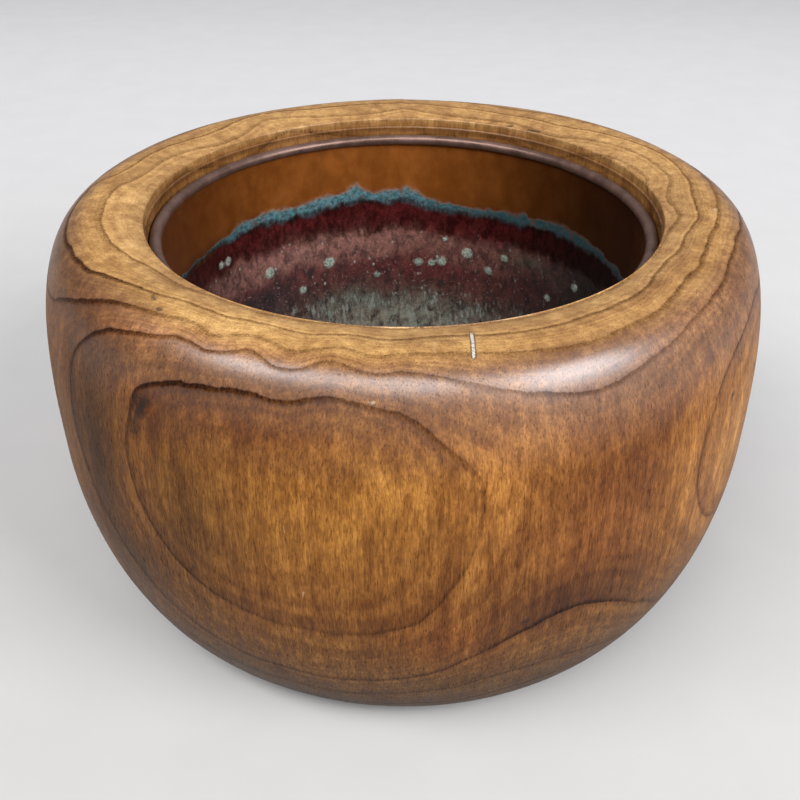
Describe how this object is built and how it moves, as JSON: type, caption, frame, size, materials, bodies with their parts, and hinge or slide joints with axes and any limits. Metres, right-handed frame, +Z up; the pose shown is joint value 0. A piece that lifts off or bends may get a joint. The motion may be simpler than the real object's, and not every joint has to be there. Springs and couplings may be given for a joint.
{
  "type": "brazier bowl",
  "caption": "Squat round bowl turned from one hollowed log, with a rolled-edge sheet-copper liner that lifts out of its mouth.",
  "frame": {"origin": "centre of the underside, on the surface that the bowl stands on", "axes": "+Z up along the axis of the bowl, -Y towards the side with the large ring figure, +X to its right"},
  "size_m": [0.4539, 0.454, 0.26],
  "materials": {
    "log_wood": "waxed and worn, strong ring figure",
    "board_wood": "raw, sawn",
    "bamboo": "split bamboo, raw",
    "sheet_copper": "tarnished copper with verdigris",
    "dark_copper": "dark brown tarnished copper, smooth",
    "iron_wire": "black drawn wire"
  },
  "bodies": {
    "vessel": {"log_shell": "log_wood", "base_board": "board_wood", "base_nails": "bamboo"},
    "liner": {"liner_wall": "sheet_copper", "liner_bottom": "sheet_copper", "liner_rim": "dark_copper", "rim_wire": "iron_wire"}
  },
  "joints": [
    {"name": "liner_lift", "type": "slide", "parent": "vessel", "child": "liner", "axis": [0, 0, 1], "range_m": [0, 0.215]}
  ]
}
